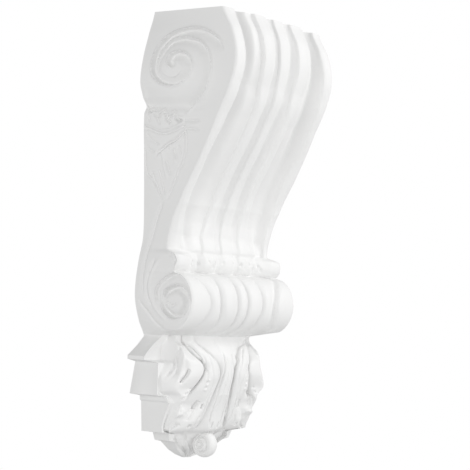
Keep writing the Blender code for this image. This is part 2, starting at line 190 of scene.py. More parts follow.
COVE_LIFT = [
    (440, -5), (415, -9), (400, -11), (350, -12), (300, -12), (280, -11), (250, -8), (222, -3),
    (209, 2),
]
# Drops beside the shoulders where the crispness is 1, and its run down the front.
RIB_DROP = 2.0
SMALL_COVE_DROP = 3.0
INNER_DROP = 2.2
OUTER_DROP = 3.2
BEAD_DROP = 3.6
CRISPNESS = [(440, 1.1), (360, 1.3), (280, 1.4), (250, 1.2), (222, 0.8)]
INNER_SHOULDER = 1.2  # run of the drops beside the small cove
OUTER_SHOULDER = 1.7
BEAD_SHOULDER = 2.5
COVE_FOOT = 10  # from the bead's shoulder to the floor of the cove
RIDGE_CROWN = 1.2
CURLS_BEGIN = (208, 202)  # heights over which the ridges turn into the curls
ROLL_BEGINS = (188, 183)  # heights over which the curls turn into the roll

# Distance from the middle and relief over the bead's face: curls above the roll, then reeds.
CURLS = [
    (0, -2.4), (6, -3), (9.5, -4.6), (14, -6.4), (17.5, -6.4), (20, -4.6), (24, -3), (31, -2.4),
    (38, -3.2), (42, -5.4), (47, -8), (52, -8), (57, -6.5), (62, -4.6), (66, -2.6), (70, -0.7),
    (76, 0.5), (83.5, 0), (87, -1.5),
]
# Eyes of the curls: distance from the middle, height, depth and half width.
CURL_EYES = [
    (21.5, 197, 2.6, 1.7), (33.5, 197.5, 1.6, 1.8), (8.5, 197.5, 1.4, 1.6), (46, 195, 1.6, 1.8),
    (55, 197, 1.4, 1.7), (58, 193.5, 1.4, 1.7), (27.5, 201.5, -1.0, 2.6), (27.5, 193, 1.0, 2.2),
]
REEDS = [
    (0, 0.2), (4, -0.5), (7, -2.6), (8.6, -3.8), (10.2, -2.4), (14, -0.6), (21.5, 0.2), (29, -0.8),
    (33.2, -3.2), (35, -5), (36.8, -3.8), (40, -2), (44, -1.8), (48, -3), (51, -4.2), (52.4, -4.2),
    (54, -2), (57, 0.6), (61, 1.2), (66, 1.3), (76, 1.1), (83, 0.4), (86, -1),
]
REED_EDGE = 35  # the last groove that runs straight round the roll
REEL_EDGE = 52  # where the outer reel begins in that profile
# Where the outer reel of the roll begins, by height: it swells towards the middle of the roll.
REEL_FROM = [
    (190, 74), (183, 71), (175, 62), (165, 56), (155, 53.5), (146, 56), (138, 61), (130, 68),
]
REED_LEAN = 0.16  # how far the reeds draw together below
LEAN_BEGINS = (160, 130)


def blend(low, high, value):
    """A smooth step from 0 at low to 1 at high."""
    t = np.clip((value - low) / (high - low), 0, 1)
    return t * t * (3 - 2 * t)


def straight(knots, up):
    """Straight runs through (height, value) knots that fall in height."""
    heights, values = zip(*knots)
    return float(np.interp(up, heights[::-1], values[::-1]))


def rounded(before, a, b, after, t):
    """The place a share t of the way from a to b on a curve that heeds the points around them."""
    bend = (2 * before - 5 * a + 4 * b - after) * t * t
    turn = (3 * a - before - 3 * b + after) * t * t * t
    return 0.5 * (2 * a + (b - before) * t + bend + turn)


def smooth(knots, up):
    """A smooth curve through (height, value) knots that fall in height."""
    spots = [knots[0]] + list(knots) + [knots[-1]]
    for i in range(1, len(spots) - 2):
        high, low = spots[i][0], spots[i + 1][0]
        if up >= low:
            t = min(1.0, max(0.0, (high - up) / (high - low)))
            return rounded(*(spots[i + k][1] for k in (-1, 0, 1, 2)), t)
    return knots[-1][1]


def bulge(centre, radius_up, radius_out, up):
    """Stand-off of a round roll at a height, or of its centre above and below it."""
    t = min(1.0, abs(up - centre[0]) / radius_up)
    return centre[1] + radius_out * math.sqrt(1 - t * t)


def wall_half(up):
    """Half width along the wall at a height."""
    return smooth(WALL_CURVE, up) if up >= NECK_HEIGHT else straight(PENDANT_WALL, up)


def profile(knots, across):
    """A relief profile through (across, relief) knots, rounded without overshoot."""
    x, y = (np.array(side, float) for side in zip(*knots))
    slope = np.diff(y) / np.diff(x)
    lean = np.zeros(len(x))
    same = slope[:-1] * slope[1:] > 0
    lean[1:-1][same] = 2 * slope[:-1][same] * slope[1:][same] / (slope[:-1] + slope[1:])[same]
    lean[-1] = slope[-1]
    i = np.clip(np.searchsorted(x, across) - 1, 0, len(x) - 2)
    run = x[i + 1] - x[i]
    t = np.clip((across - x[i]) / run, 0, 1)
    rise = (1 + 2 * t) * (1 - t) ** 2 * y[i] + t * (1 - t) ** 2 * run * lean[i]
    return rise + t * t * (3 - 2 * t) * y[i + 1] - t * t * (1 - t) * run * lean[i + 1]


def console_edge(up):
    """Half width of the ridged front: ridges, ears or roll."""
    edge = SHEET_HALF_WIDTH + (EAR_EDGE - SHEET_HALF_WIDTH) * blend(*CURLS_BEGIN, up)
    return edge + (ROLL_EDGE - edge) * blend(*ROLL_BEGINS, up)


def ridges(up):
    """Across and relief of half the ridged front: rib, small cove, ridge, cove and bead."""
    rib, ridge, bead, cove = (
        smooth(lift, up) for lift in (RIB_LIFT, RIDGE_LIFT, BEAD_LIFT, COVE_LIFT)
    )
    half, far, near = (smooth(k, up) for k in (RIB_TO, RIDGE_TO, BEAD_FROM))
    crisp = straight(CRISPNESS, up)
    ledge = ridge - OUTER_DROP * crisp
    return [
        (0, rib + 0.9 * crisp), (half, rib), (half + INNER_SHOULDER, rib - RIB_DROP * crisp),
        ((half + RIDGE_FROM) / 2, min(rib, ridge) - SMALL_COVE_DROP * crisp),
        (RIDGE_FROM - INNER_SHOULDER, ridge - INNER_DROP * crisp), (RIDGE_FROM, ridge),
        ((RIDGE_FROM + far) / 2, ridge + RIDGE_CROWN), (far, ridge),
        (far + OUTER_SHOULDER, ledge), (far * 0.65 + near * 0.35, ledge - 1),
        (near - COVE_FOOT, min(cove, ledge - 1.5)),
        (near - BEAD_SHOULDER, bead - BEAD_DROP * crisp), (near, bead),
        (near + 6, 1.4 + 0.4 * bead), (82, 0.3), (SHEET_HALF_WIDTH, -1.5),
    ]


def console_front(up, across):
    """Stand-off of the console's front at a height, for distances from the middle."""
    share = across / console_edge(up)
    ridge = smooth(FRONT_CURVE, up) + profile(ridges(up), share * SHEET_HALF_WIDTH)
    curl = bulge(EAR_CENTRE, EAR_RADIUS, EAR_RADIUS, up) + profile(CURLS, across)
    for spot, height, depth, width in CURL_EYES:
        curl -= depth * np.exp(-((across - spot) ** 2 + (up - height) ** 2) / width**2)
    lean = 1 + REED_LEAN * blend(*LEAN_BEGINS, up)
    spots = [0, REED_EDGE / lean, smooth(REEL_FROM, up), ROLL_EDGE]
    reed = profile(REEDS, np.interp(across, spots, [0, REED_EDGE, REEL_EDGE, ROLL_EDGE]))
    reed += bulge(ROLL_CENTRE, *ROLL_RADII, up)
    out = ridge + (curl - ridge) * blend(*CURLS_BEGIN, up)
    return out + (reed - out) * blend(*ROLL_BEGINS, up)


def leaf_stations(up):
    """Across and stand-off of the pendant's front: rib, two lobes between cuts, fold and block."""
    rib, inner, outer = (smooth(k, up) for k in (RIB_OUT, INNER_OUT, OUTER_OUT))
    half, cut, second = (smooth(k, up) for k in (RIB_HALF, INNER_CUT, OUTER_CUT))
    fold, edge = smooth(FOLD_AT, up), smooth(EDGE_AT, up)
    depth = straight(INNER_DEPTH, up)
    block, corner = straight(BLOCK_OUT, up), wall_half(up) * straight(BLOCK_TAPER, up)
    near = min(CUT_HALF, (cut - half) * 0.6, (second - cut) * 0.25)
    far = min(CUT_HALF, (fold - second) * 0.35, (second - cut) * 0.25)
    step = min(1.5, (corner - edge) * 0.3)
    third = smooth(LOWER_CUT, up) if up < LOWER_CUT[0][0] else second - far
    flank = inner * 0.7 + outer * 0.3 - 0.5 - straight(LOWER_DEPTH, up)
    return [
        (0, rib), (half * 0.6, rib - 0.8), (half, (rib + inner) / 2 - depth * 0.3),
        (cut, inner - depth), (cut + near, inner - 0.8), ((cut + third) / 2, inner + 0.8),
        (third, flank), (second, outer - straight(OUTER_DEPTH, up)),
        (second + far, outer), (second + (fold - second) * 0.7, outer),
        (fold, straight(FOLD_OUT, up)), (edge, straight(EDGE_OUT, up)),
        (edge + step, block + 0.6), (edge + (corner - edge) * 0.5, block + 0.4),
        (edge + (corner - edge) * 0.8, block + 0.2), (corner, block),
    ]


def leaf_line(stations, per_station):
    """A line through the leaf's stations, rounded between the stations where it breaks."""
    spots = np.array(stations, float)
    share = np.arange(per_station)[:, None] / per_station
    pieces = []
    for i in range(len(spots) - 1):
        a, b = spots[i], spots[i + 1]
        before = 2 * a - b if i in LEAF_CORNERS else spots[i - 1]
        after = 2 * b - a if i + 1 in LEAF_CORNERS else spots[i + 2]
        pieces.append(rounded(before, a, b, after, share))
    return np.vstack(pieces + [spots[-1:]])


def console_line(up, count):
    """Across and stand-off of the console's front, which turns into the leaf below the roll."""
    across = np.linspace(0, console_edge(up), count)
    out = console_front(up, across)
    if up < ROLL_FOOT:
        share = (ROLL_FOOT - up) / (ROLL_FOOT - NECK_HEIGHT)
        leaf = leaf_line(leaf_stations(NECK_HEIGHT), PIECES_PER_STATION)
        across = across * (1 - share * (1 - leaf[-1, 0] / across[-1]))
        under = np.interp(across * leaf[-1, 0] / across[-1], leaf[:, 0], leaf[:, 1])
        out = console_front(ROLL_FOOT, np.linspace(0, console_edge(ROLL_FOOT), count))
        out = out + (under - out) * share
    return np.stack([across, out], axis=1)


def pendant_line(up, per_station):
    """Across and stand-off of the pendant's front, which turns into the roll above its neck."""
    line = leaf_line(leaf_stations(min(up, NECK_HEIGHT)), per_station)
    if up > NECK_HEIGHT:
        share = (ROLL_FOOT - up) / (ROLL_FOOT - NECK_HEIGHT)
        edge = console_edge(ROLL_FOOT)
        top = console_front(ROLL_FOOT, line[:, 0] * edge / line[-1, 0])
        line[:, 1] = top + (line[:, 1] - top) * share
        line[:, 0] *= (edge + (line[-1, 0] - edge) * share) / line[-1, 0]
    return line


def half_sheet(heights, front_line, fineness, side_count):
    """Sheet points of half the casting, row by row, from the middle of the front to the back's."""
    rows = []
    share = np.arange(1, side_count + 1) / side_count
    inward = 1 - np.arange(1, BACK_COLUMNS + 1) / BACK_COLUMNS
    for up in heights:
        line = front_line(up, fineness)
        edge, out = line[-1]
        across = edge + (wall_half(up) - edge) * blend(0, SIDE_FLARE, share)
        side = np.stack([across, out * (1 - share)], axis=1)
        back = np.stack([wall_half(up) * inward, np.zeros(BACK_COLUMNS)], axis=1)
        row = np.vstack([line, side, back])
        rows.append(np.column_stack([row, np.full(len(row), up)]))
    return np.array(rows)


def heights_between(top, foot, step, marks=()):
    """Falling row heights at an even step, with rows at the marks where an edge lies."""
    count = max(1, round((top - foot) / step))
    even = np.linspace(top, foot, count + 1)
    marks = [m for m in marks if foot < m < top]
    kept = [h for h in even if all(abs(h - m) > step * ROW_CLEARANCE for m in marks)]
    return np.array(sorted(kept + marks, reverse=True))


def smooth_path(path, pieces):
    """A drawn path with rounded runs between its points."""
    spots = [np.array(spot, float) for spot in [path[0], *path, path[-1]]]
    line = [
        rounded(*spots[i - 1:i + 3], k / pieces)
        for i in range(1, len(spots) - 2) for k in range(pieces)
    ]
    return line + [spots[-1]]


def along_line(line, points):
    """Distance of points to a line, the share of it run through and the nearest of its steps."""
    gap = np.full(points.shape[:-1], np.inf)
    run = np.zeros(gap.shape)
    nearest = np.zeros(gap.shape, int)
    for i, (a, b) in enumerate(zip(line, line[1:])):
        step = b - a
        share = np.clip((points - a) @ step / max(step @ step, 1e-9), 0, 1)
        away = np.linalg.norm(points - a - share[..., None] * step, axis=-1)
        closer = away < gap
        gap = np.where(closer, away, gap)
        run = np.where(closer, (i + share) / (len(line) - 1), run)
        nearest = np.where(closer, i, nearest)
    return gap, run, nearest


def side_of(line, nearest, points):
    """Which side of a line its points lie on: +1 to the left, -1 to the right."""
    line = np.array(line)
    step = np.diff(line, axis=0)[nearest]
    away = points - line[nearest]
    return np.sign(step[..., 0] * away[..., 1] - step[..., 1] * away[..., 0])


def ends(run, start, finish):
    """Fades a line in over its first share and out over its last."""
    first = blend(0, start, run) if start > 0 else 1.0
    last = 1 - blend(1 - finish, 1, run) if finish > 0 else 1.0
    return first * last


UPPER_RIM = [
    (89.4, 396.9), (84.8, 404.8), (78.4, 410.9), (69.7, 416.2), (59.9, 419.7), (51.3, 420.7),
    (42.9, 419.8), (33.2, 417.5), (26, 414), (20.1, 408.5), (15.6, 400.9), (13.2, 391.2),
    (13.2, 381.4), (14.8, 375.4), (18.9, 370.4), (25.4, 366.2), (34.2, 364.4), (42.7, 365.5),
    (48.6, 369.1), (53.2, 373.7), (56.3, 381.3), (55.3, 387.1), (52, 392.1), (46.9, 395.8),
    (39.4, 397.2), (33.4, 395.1), (30, 390.4), (30.3, 385.5), (35.7, 379.4),
]
UPPER_BAND = [
    (47.1, 336.3), (56.2, 345.6), (63.1, 351.2), (69.8, 359.6), (72.9, 367.1), (75.3, 376.6),
    (75.2, 386.1), (72.2, 395.9), (67.1, 401.9), (60.7, 407.1), (52, 410.1), (43.4, 411.5),
    (36.1, 411), (28.8, 409), (23, 403.5), (17.6, 393), (17, 386.2), (18.4, 378.2), (23.9, 371.1),
]
LOWER_RING = [
    (33.8, 157.9), (35.7, 167.5), (47.6, 172.8), (57.5, 169.3), (63, 159), (62.4, 149.5),
    (54.4, 142.5), (42.3, 141), (32.9, 148), (31, 157), (31.9, 168.4),
]
DRUM_RIM = [
    (28, 152.8), (25.8, 167.2), (33.7, 178.1), (48, 184.3), (60.8, 174.2), (67.8, 159.2),
    (66.4, 143.1), (61.1, 132.4),
]

# Path, raised lip, drop behind it, widths of both, side of the drop and fades at the two ends.
SIDE_EDGES = [
    (UPPER_RIM, 2.3, 4.8, 1.5, 6.5, 1, 0.06, 0.03),
    (UPPER_BAND, 2.2, 5.0, 1.6, 6.5, 1, 0.04, 0.25),
    (LOWER_RING, 1.8, 7.0, 1.4, 5.0, -1, 0.10, 0.30),
    (DRUM_RIM, 1.6, 2.4, 1.6, 3.2, -1, 0.10, 0.15),
]
# Path, depth (a ridge where it is below 0), half width and fades at the two ends.
SIDE_LINES = [
    ([(23.8, 254.5), (17.3, 240), (12, 223), (8.3, 206), (7.2, 184), (8, 171.5), (11.4, 160)],
     1.8, 1.7, 0.10, 0.15),
    ([(20, 199), (16.8, 191), (13.9, 178.5), (13.4, 167), (16.6, 157), (20.7, 151.6)],
     1.4, 1.5, 0.2, 0.2),
    ([(26.1, 200), (18.3, 186.3), (16.8, 171.7), (20.3, 157.3), (26, 146), (36.5, 136.9)],
     -1.2, 1.6, 0.2, 0.2),
    ([(3.9, 159), (8, 152), (13.6, 145.5), (19, 138), (25.7, 132.5), (33, 129), (43, 126)],
     1.5, 1.6, 0.2, 0.2),
    ([(36.4, 157), (41.6, 152.4), (47.5, 155.5)], 2.4, 1.4, 0.1, 0.2),
    ([(46.6, 168.9), (55.5, 162.5), (57.3, 154), (51.8, 145.2)], 2.4, 2.4, 0.2, 0.2),
    ([(34.2, 207.9), (41.8, 205.2), (47, 199.6), (47.4, 193.8), (44.1, 188.9)],
     -1.6, 1.5, 0.1, 0.1),
    ([(34, 203), (40, 201), (43.2, 197), (41.5, 193.5)], 1.6, 1.5, 0.2, 0.2),
    ([(46.5, 331), (55, 331), (64.5, 331)], 1.6, 1.1, 0.1, 0.3),
    ([(46.5, 324), (55, 323), (64.5, 322)], 1.6, 1.1, 0.1, 0.3),
    ([(47, 327.5), (55, 327), (63, 326.5)], -1.0, 1.4, 0.1, 0.3),
    ([(47, 327), (31, 320), (19, 319), (9, 322.5), (-1, 325)], 2.2, 1.3, 0.05, 0.1),
    ([(46, 329.5), (31, 323), (19, 322), (9, 325.5), (-1, 328)], -1.2, 1.2, 0.1, 0.15),
    ([(48, 323.5), (38, 314), (26, 307.5), (14, 298)], 2.4, 1.3, 0.05, 0.2),
    ([(48, 320), (39, 311), (27, 304), (15, 294.5)], -1.2, 1.2, 0.1, 0.2),
    ([(-3, 347), (1, 345), (7, 340.5), (12, 342), (15, 337), (18, 336), (23, 340), (27, 334.5),
      (31, 335.5), (35, 338), (39, 332), (45, 331)], 2.6, 1.2, 0.02, 0.05),
    ([(-3, 349), (1, 347.4), (7, 343), (12, 344.4), (16, 340), (18, 338.6), (23, 342.6), (28, 337),
      (31, 338), (35, 340.4), (40, 334.6), (46, 333.4)], -1.2, 1.3, 0.02, 0.05),
    ([(11, 340), (20, 327)], 1.8, 1.2, 0.2, 0.3),
    ([(2, 342), (8, 330)], 1.4, 1.1, 0.2, 0.3),
    ([(25, 334), (32, 328)], 3.0, 1.4, 0.2, 0.3),
    ([(35, 334), (43, 329)], 2.4, 1.2, 0.2, 0.3),
    ([(47.6, 322), (48, 312), (47.6, 302), (44.5, 291), (40, 283), (32, 264), (27, 254)],
     2.0, 1.3, 0.05, 0.2),
    ([(0, 312), (1, 300), (3, 281), (10.7, 274), (19, 262)], 1.6, 1.2, 0.1, 0.3),
    ([(9, 283.5), (14, 270), (22.5, 254)], 1.8, 1.1, 0.2, 0.3),
    ([(18, 285), (21, 272), (25, 259)], 1.8, 1.1, 0.2, 0.3),
    ([(26, 293), (31, 278)], 1.8, 1.1, 0.2, 0.3),
    ([(34, 305), (38.5, 293)], 1.8, 1.1, 0.2, 0.3),
    ([(30, 309), (35, 300), (37, 288)], -1.0, 1.4, 0.2, 0.3),
    ([(22, 303), (24, 290), (28, 272)], -1.0, 1.4, 0.2, 0.3),
    ([(40, 307), (43, 299)], 1.4, 1.0, 0.2, 0.3),
    ([(3, 319), (12, 311), (20, 308)], 1.4, 1.1, 0.2, 0.3),
    ([(2, 308), (8, 303), (14, 301)], 1.2, 1.0, 0.2, 0.3),
    ([(2, 352), (18, 350), (34, 346), (48, 352), (60, 366)], 1.6, 9, 0.1, 0.4),
]
LIP_FALL = 0.9  # run over which a lip drops away behind
LIP_CREST = 0.3  # half width of its crest
WALL_MARGIN = 3  # stand-off below which the carving fades out
# Pieces of the run between two points of a path.
SIDE_PIECES = 5
LEAF_PIECES = 6


def side_relief(places):
    """Lift of the carving over the side face, in sheet units."""
    lift = np.zeros(places.shape[:-1])
    for path, lip, drop, lip_width, drop_width, hand, start, finish in SIDE_EDGES:
        line = smooth_path(path, SIDE_PIECES)
        gap, run, nearest = along_line(line, places)
        behind = (side_of(line, nearest, places) == hand) | (gap < LIP_CREST)
        fade = np.exp(-gap / LIP_FALL)
        edge = lip * np.exp(-((gap / lip_width) ** 2))
        fall = drop * (1 - fade) * np.exp(-((gap / drop_width) ** 2))
        lift += ends(run, start, finish) * np.where(behind, edge * fade - fall, edge)
    for path, depth, width, start, finish in SIDE_LINES:
        gap, run, nearest = along_line(smooth_path(path, SIDE_PIECES), places)
        lift -= ends(run, start, finish) * depth * np.exp(-((gap / width) ** 2))
    return lift


def carve_side(points, front_count, side_count):
    """Adds the side carving to the side columns of a half sheet."""
    side = points[:, front_count:front_count + side_count]
    side[..., 0] += side_relief(side[..., 1:]) * blend(0, WALL_MARGIN, side[..., 1])


# Lines cut into the pendant, as distance from the middle and height, where it faces the front.
# Path, depth (a ridge where it is below 0), half width and fades at the two ends.
LEAF_LINES = [
    ([(51, 118.5), (45, 110.5), (38.5, 99), (37, 89), (41, 79), (47, 70), (56, 62), (61, 55),
      (63, 50)], 1.6, 1.2, 0.05, 0.12),
    ([(42, 117.5), (29, 112), (18.5, 101), (12.5, 88.5), (13.2, 76), (15.5, 66), (17.5, 56),
      (19.5, 46), (21.5, 36), (22.5, 31)], 1.8, 1.2, 0.05, 0.1),
    ([(59.5, 92.5), (63.5, 86.5), (69.5, 78.5)], 4.5, 1.5, 0.15, 0.15),
    ([(33, 60.5), (35.5, 56), (39, 52)], 3.4, 1.5, 0.2, 0.2),
    ([(28, 57.5), (29, 54.5), (30, 51.5)], 3.0, 1.1, 0.25, 0.25),
    ([(47.5, 116), (45.5, 111), (41, 103), (39, 97)], 1.1, 0.9, 0.1, 0.4),
    ([(35, 113), (25, 104), (19, 94), (17, 84), (19, 74)], 1.0, 0.9, 0.1, 0.3),
    ([(32, 109), (29.5, 96.5), (26, 83.5), (24, 73.5), (27, 61.5), (32, 50)], 0.9, 1.1, 0.15, 0.3),
    ([(40, 108.5), (35.5, 96), (34, 84), (36, 74)], 0.9, 1.1, 0.15, 0.25),
    ([(36, 61.5), (39, 49.5), (45, 39.5)], 1.3, 1.0, 0.2, 0.2),
    ([(22, 69.5), (24, 57.5), (25, 45), (25, 36)], 1.2, 1.0, 0.2, 0.2),
    ([(29, 46), (32, 40), (33, 34)], 1.2, 0.9, 0.2, 0.2),
    ([(7.5, 111), (6.5, 98), (8.5, 84), (9.5, 71), (9, 58), (9.5, 45), (8, 33)],
     1.5, 1.0, 0.12, 0.1),
    ([(3.2, 108), (2.6, 95), (3.4, 81), (4.2, 69), (4.2, 56), (4.6, 43)], 0.7, 0.9, 0.15, 0.2),
    ([(4.8, 39), (4.6, 35), (4.8, 31.5)], 1.8, 0.9, 0.25, 0.25),
    ([(50, 37.5), (55, 33.5), (60, 29.5)], 2.0, 1.2, 0.2, 0.1),
    ([(48, 48), (52, 43), (56, 37)], -0.9, 2.2, 0.3, 0.3),
    ([(64, 111), (65.5, 104), (68.5, 97), (73, 90.5), (78.5, 84.5), (84, 78)],
     1.8, 1.2, 0.1, 0.35),
    ([(62, 114), (64, 108), (65, 102), (67, 95.5), (70, 89), (75, 83.5), (80, 78.5)],
     1.5, 1.0, 0.1, 0.3),
    ([(58, 116), (61, 110), (62.5, 102.5), (64.8, 93), (69.5, 83.5), (75, 76.5)],
     -1.2, 1.4, 0.1, 0.3),
]
# Drilled holes and beads: distance from the middle, height, depth and half width.
LEAF_DOTS = [
    (38.5, 34.5, 5.0, 1.7), (30.5, 28.5, 4.0, 1.7), (52, 73, 1.6, 0.9), (55.5, 70.5, -1.4, 1.2),
    (58, 68, 1.6, 0.9), (60.5, 65.5, -1.4, 1.2), (62.5, 63, 1.6, 0.9), (32, 81.5, -1.3, 1.2),
    (32.5, 79, 1.5, 0.9), (32.8, 76.5, -1.3, 1.2), (33, 74, 1.5, 0.9), (33, 71.5, -1.3, 1.2),
]


def drawn_path(path, points, front_count, pieces):
    """A path of (across, up) laid on the front of a half sheet, as sheet points."""
    line = []
    heights = points[:, 0, 2]
    for across, up in smooth_path(path, pieces):
        row = points[np.abs(heights - up).argmin(), :front_count]
        line.append((across, np.interp(across, row[:, 0], row[:, 1]), up))
    return np.array(line)


def carve_leaf(points, front_count):
    """Cuts the leaf's lines, slots, holes and beads into the pendant along its surface."""
    down = np.gradient(points, axis=0)
    along = np.gradient(points, axis=1)
    outward = np.cross(along, down)
    outward /= np.linalg.norm(outward, axis=2, keepdims=True) + 1e-9
    sink = np.zeros(points.shape[:2])
    for path, depth, width, start, finish in LEAF_LINES:
        line = drawn_path(path, points, front_count, LEAF_PIECES)
        gap, run, nearest = along_line(line, points)
        sink += ends(run, start, finish) * depth * np.exp(-((gap / width) ** 2))
    for across, up, depth, width in LEAF_DOTS:
        spot = drawn_path([(across, up), (across, up)], points, front_count, 1)[0]
        gap = np.linalg.norm(points - spot, axis=2)
        sink += depth * np.exp(-((gap / width) ** 2))
    points -= outward * sink[..., None]


def to_metres(points, sizes):
    """Sheet points in metres, with the origin in the middle of the back."""
    placed = np.empty(points.shape)
    placed[..., 0] = points[..., 0] * sizes.width / 2 / SHEET_HALF_WIDTH
    placed[..., 1] = -points[..., 1] * sizes.standoff / SHEET_STANDOFF
    placed[..., 2] = (points[..., 2] / SHEET_HEIGHT - 0.5) * sizes.height
    return placed


def link_piece(name, shape):
    """Turns a finished shape into an object of the scene."""
    mesh = bpy.data.meshes.new(name)
    shape.to_mesh(mesh)
    shape.free()
    piece = bpy.data.objects.new(name, mesh)
    bpy.context.scene.collection.objects.link(piece)
    return piece


def closed_casting(name, placed, faces):
    """A closed piece from the points of its right half: grid, mirror, caps, then thinned."""
    rows, columns = placed.shape[:2]
    shape = bmesh.new()
    bmesh.ops.create_grid(shape, x_segments=columns - 1, y_segments=rows - 1, size=1)
    for vert in shape.verts:
        column = round((vert.co.x + 1) / 2 * (columns - 1))
        row = round((vert.co.y + 1) / 2 * (rows - 1))
        vert.co = placed[row, column]
        if column in (0, columns - 1):
            vert.co.x = 0
    everything = shape.verts[:] + shape.edges[:] + shape.faces[:]
    bmesh.ops.mirror(shape, geom=everything, axis="X", merge_dist=SEAM_MERGE_DISTANCE)
    bmesh.ops.remove_doubles(shape, verts=shape.verts, dist=MERGE_DISTANCE)
    bmesh.ops.holes_fill(shape, edges=[e for e in shape.edges if e.is_boundary], sides=0)
    bmesh.ops.triangulate(shape, faces=shape.faces)
    bmesh.ops.recalc_face_normals(shape, faces=shape.faces)
    piece = link_piece(name, shape)
    if len(piece.data.polygons) > faces:
        thin = piece.modifiers.new("thin", "DECIMATE")
        thin.ratio = faces / len(piece.data.polygons)
        thin.use_symmetry = True
        thin.symmetry_axis = "X"
        thinned = bpy.data.meshes.new_from_object(
            piece.evaluated_get(bpy.context.evaluated_depsgraph_get())
        )
        piece.modifiers.clear()
        piece.data = thinned
    piece.data.name = name
    piece.data.shade_smooth()
    piece.data.set_sharp_from_angle(angle=math.radians(SHARP_ANGLE))
    return piece


class Sock:
    """A shader socket that takes part in Python expressions by adding Math nodes."""

    def __init__(self, tree, socket):
        self.tree = tree
        self.socket = socket

    def math(self, operation, other, swap=False):
        values = (other, self) if swap else (self, other)
        return add_node(self.tree, "ShaderNodeMath", {"operation": operation}, values)

    def __add__(self, other):
        return self.math("ADD", other)

    def __sub__(self, other):
        return self.math("SUBTRACT", other)

    def __rsub__(self, other):
        return self.math("SUBTRACT", other, swap=True)

    def __mul__(self, other):
        return self.math("MULTIPLY", other)

    __radd__ = __add__
    __rmul__ = __mul__


def add_node(tree, kind, settings, values, output=0):
    """Adds a node with its settings, then its input values or links; gives one output."""
    node = tree.nodes.new(kind)
    for key, value in settings.items():
        setattr(node, key, value)
    pairs = values.items() if isinstance(values, dict) else enumerate(values)
    for key, value in pairs:
        if isinstance(value, Sock):
            tree.links.new(value.socket, node.inputs[key])
        else:
            node.inputs[key].default_value = value
    return Sock(tree, node.outputs[output])


def noise(tree, place, scale, detail):
    """Noise from 0 to 1 at a scale in waves per metre."""
    values = {"Vector": place, "Scale": scale, "Detail": detail, "Roughness": 0.5}
    return add_node(tree, "ShaderNodeTexNoise", {"noise_dimensions": "3D"}, values)


# Waves per metre of the mottle, the grain and the primer's orange peel, and the peel's depth.
CLOUD_SCALE = 14.0
GRAIN_SCALE = 900.0
PEEL_SCALE = 260.0
PEEL_DEPTH = 0.0003


def cast_material(finish):
    """White primer over a cast body: a soft mottle, faint grain and a matt, uneven sheen."""
    material = bpy.data.materials.new("white cast")
    material.use_nodes = True
    tree = material.node_tree
    shader = tree.nodes["Principled BSDF"]
    place = add_node(tree, "ShaderNodeTexCoord", {}, {}, output="Object")
    cloud = noise(tree, place, CLOUD_SCALE, 3.0)
    grain = noise(tree, place, GRAIN_SCALE, 2.0)
    peel = noise(tree, place, PEEL_SCALE, 2.0)
    tone = cloud * 0.7 + grain * 0.3
    low = [c * 0.965 for c in finish.cast_colour[:3]] + [1]
    high = [min(1.0, c * 1.02) for c in finish.cast_colour[:3]] + [1]
    colour = add_node(
        tree, "ShaderNodeMix", {"data_type": "RGBA"}, {"Factor": tone, 6: low, 7: high}, output=2,
    )
    tree.links.new(colour.socket, shader.inputs["Base Color"])
    gloss = cloud * 0.08 + grain * 0.05 + (finish.roughness - 0.065)
    tree.links.new(gloss.socket, shader.inputs["Roughness"])
    relief = peel * 0.7 + grain * 0.3
    bump = add_node(
        tree, "ShaderNodeBump", {},
        {"Strength": finish.grain, "Distance": PEEL_DEPTH, "Height": relief},
    )
    tree.links.new(bump.socket, shader.inputs["Normal"])
    return material


def dress(piece, context):
    """Gives a piece the cast finish and ties it to the casting."""
    material = bpy.data.materials.get("white cast") or cast_material(context.scene.corbel_finish)
    piece.data.materials.clear()
    piece.data.materials.append(material)
    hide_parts("corbel")
    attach(piece, "root")


class CorbelSizes(bpy.types.PropertyGroup):
    """Overall sizes and the fineness of the carving."""

    height: FloatProperty(
        name="Height", description="Top face to lowest point", default=0.5, unit="LENGTH")
    width: FloatProperty(
        name="Front width", description="Across the ridged front", default=0.192, unit="LENGTH")
    standoff: FloatProperty(
        name="Stand-off", description="Wall to the fullest bead", default=0.116, unit="LENGTH")
    step: FloatProperty(
        name="Step", description="Row step in 440ths of the height", default=0.75, min=0.3)
    faces: IntProperty(
        name="Faces", description="Most triangles in one piece", default=194000, min=10000)


class CorbelFinish(bpy.types.PropertyGroup):
    """Colour and surface of the casting."""

    cast_colour: FloatVectorProperty(
        name="Cast colour", description="White primer", default=(0.86, 0.86, 0.855), size=3,
        subtype="COLOR", min=0, max=1)
    roughness: FloatProperty(
        name="Roughness", description="Mean roughness", default=0.6, subtype="FACTOR")
    grain: FloatProperty(
        name="Grain", description="Strength of the primer's fine grain", default=0.25,
        subtype="FACTOR")


class StageSettings(bpy.types.PropertyGroup):
    """Floor, lights and camera."""

    floor_drop: FloatProperty(
        name="Floor drop", description="Floor below the lowest point", default=2.0, unit="LENGTH")
    front_power: FloatProperty(
        name="Front power", description="Light from the front", default=20.0, unit="POWER")
    left_power: FloatProperty(
        name="Left power", description="Light from the left", default=21.0, unit="POWER")
    right_power: FloatProperty(
        name="Right power", description="Light from the upper right", default=24.0, unit="POWER")
    sky: FloatProperty(name="Sky", description="Strength of the white surround", default=0.48)


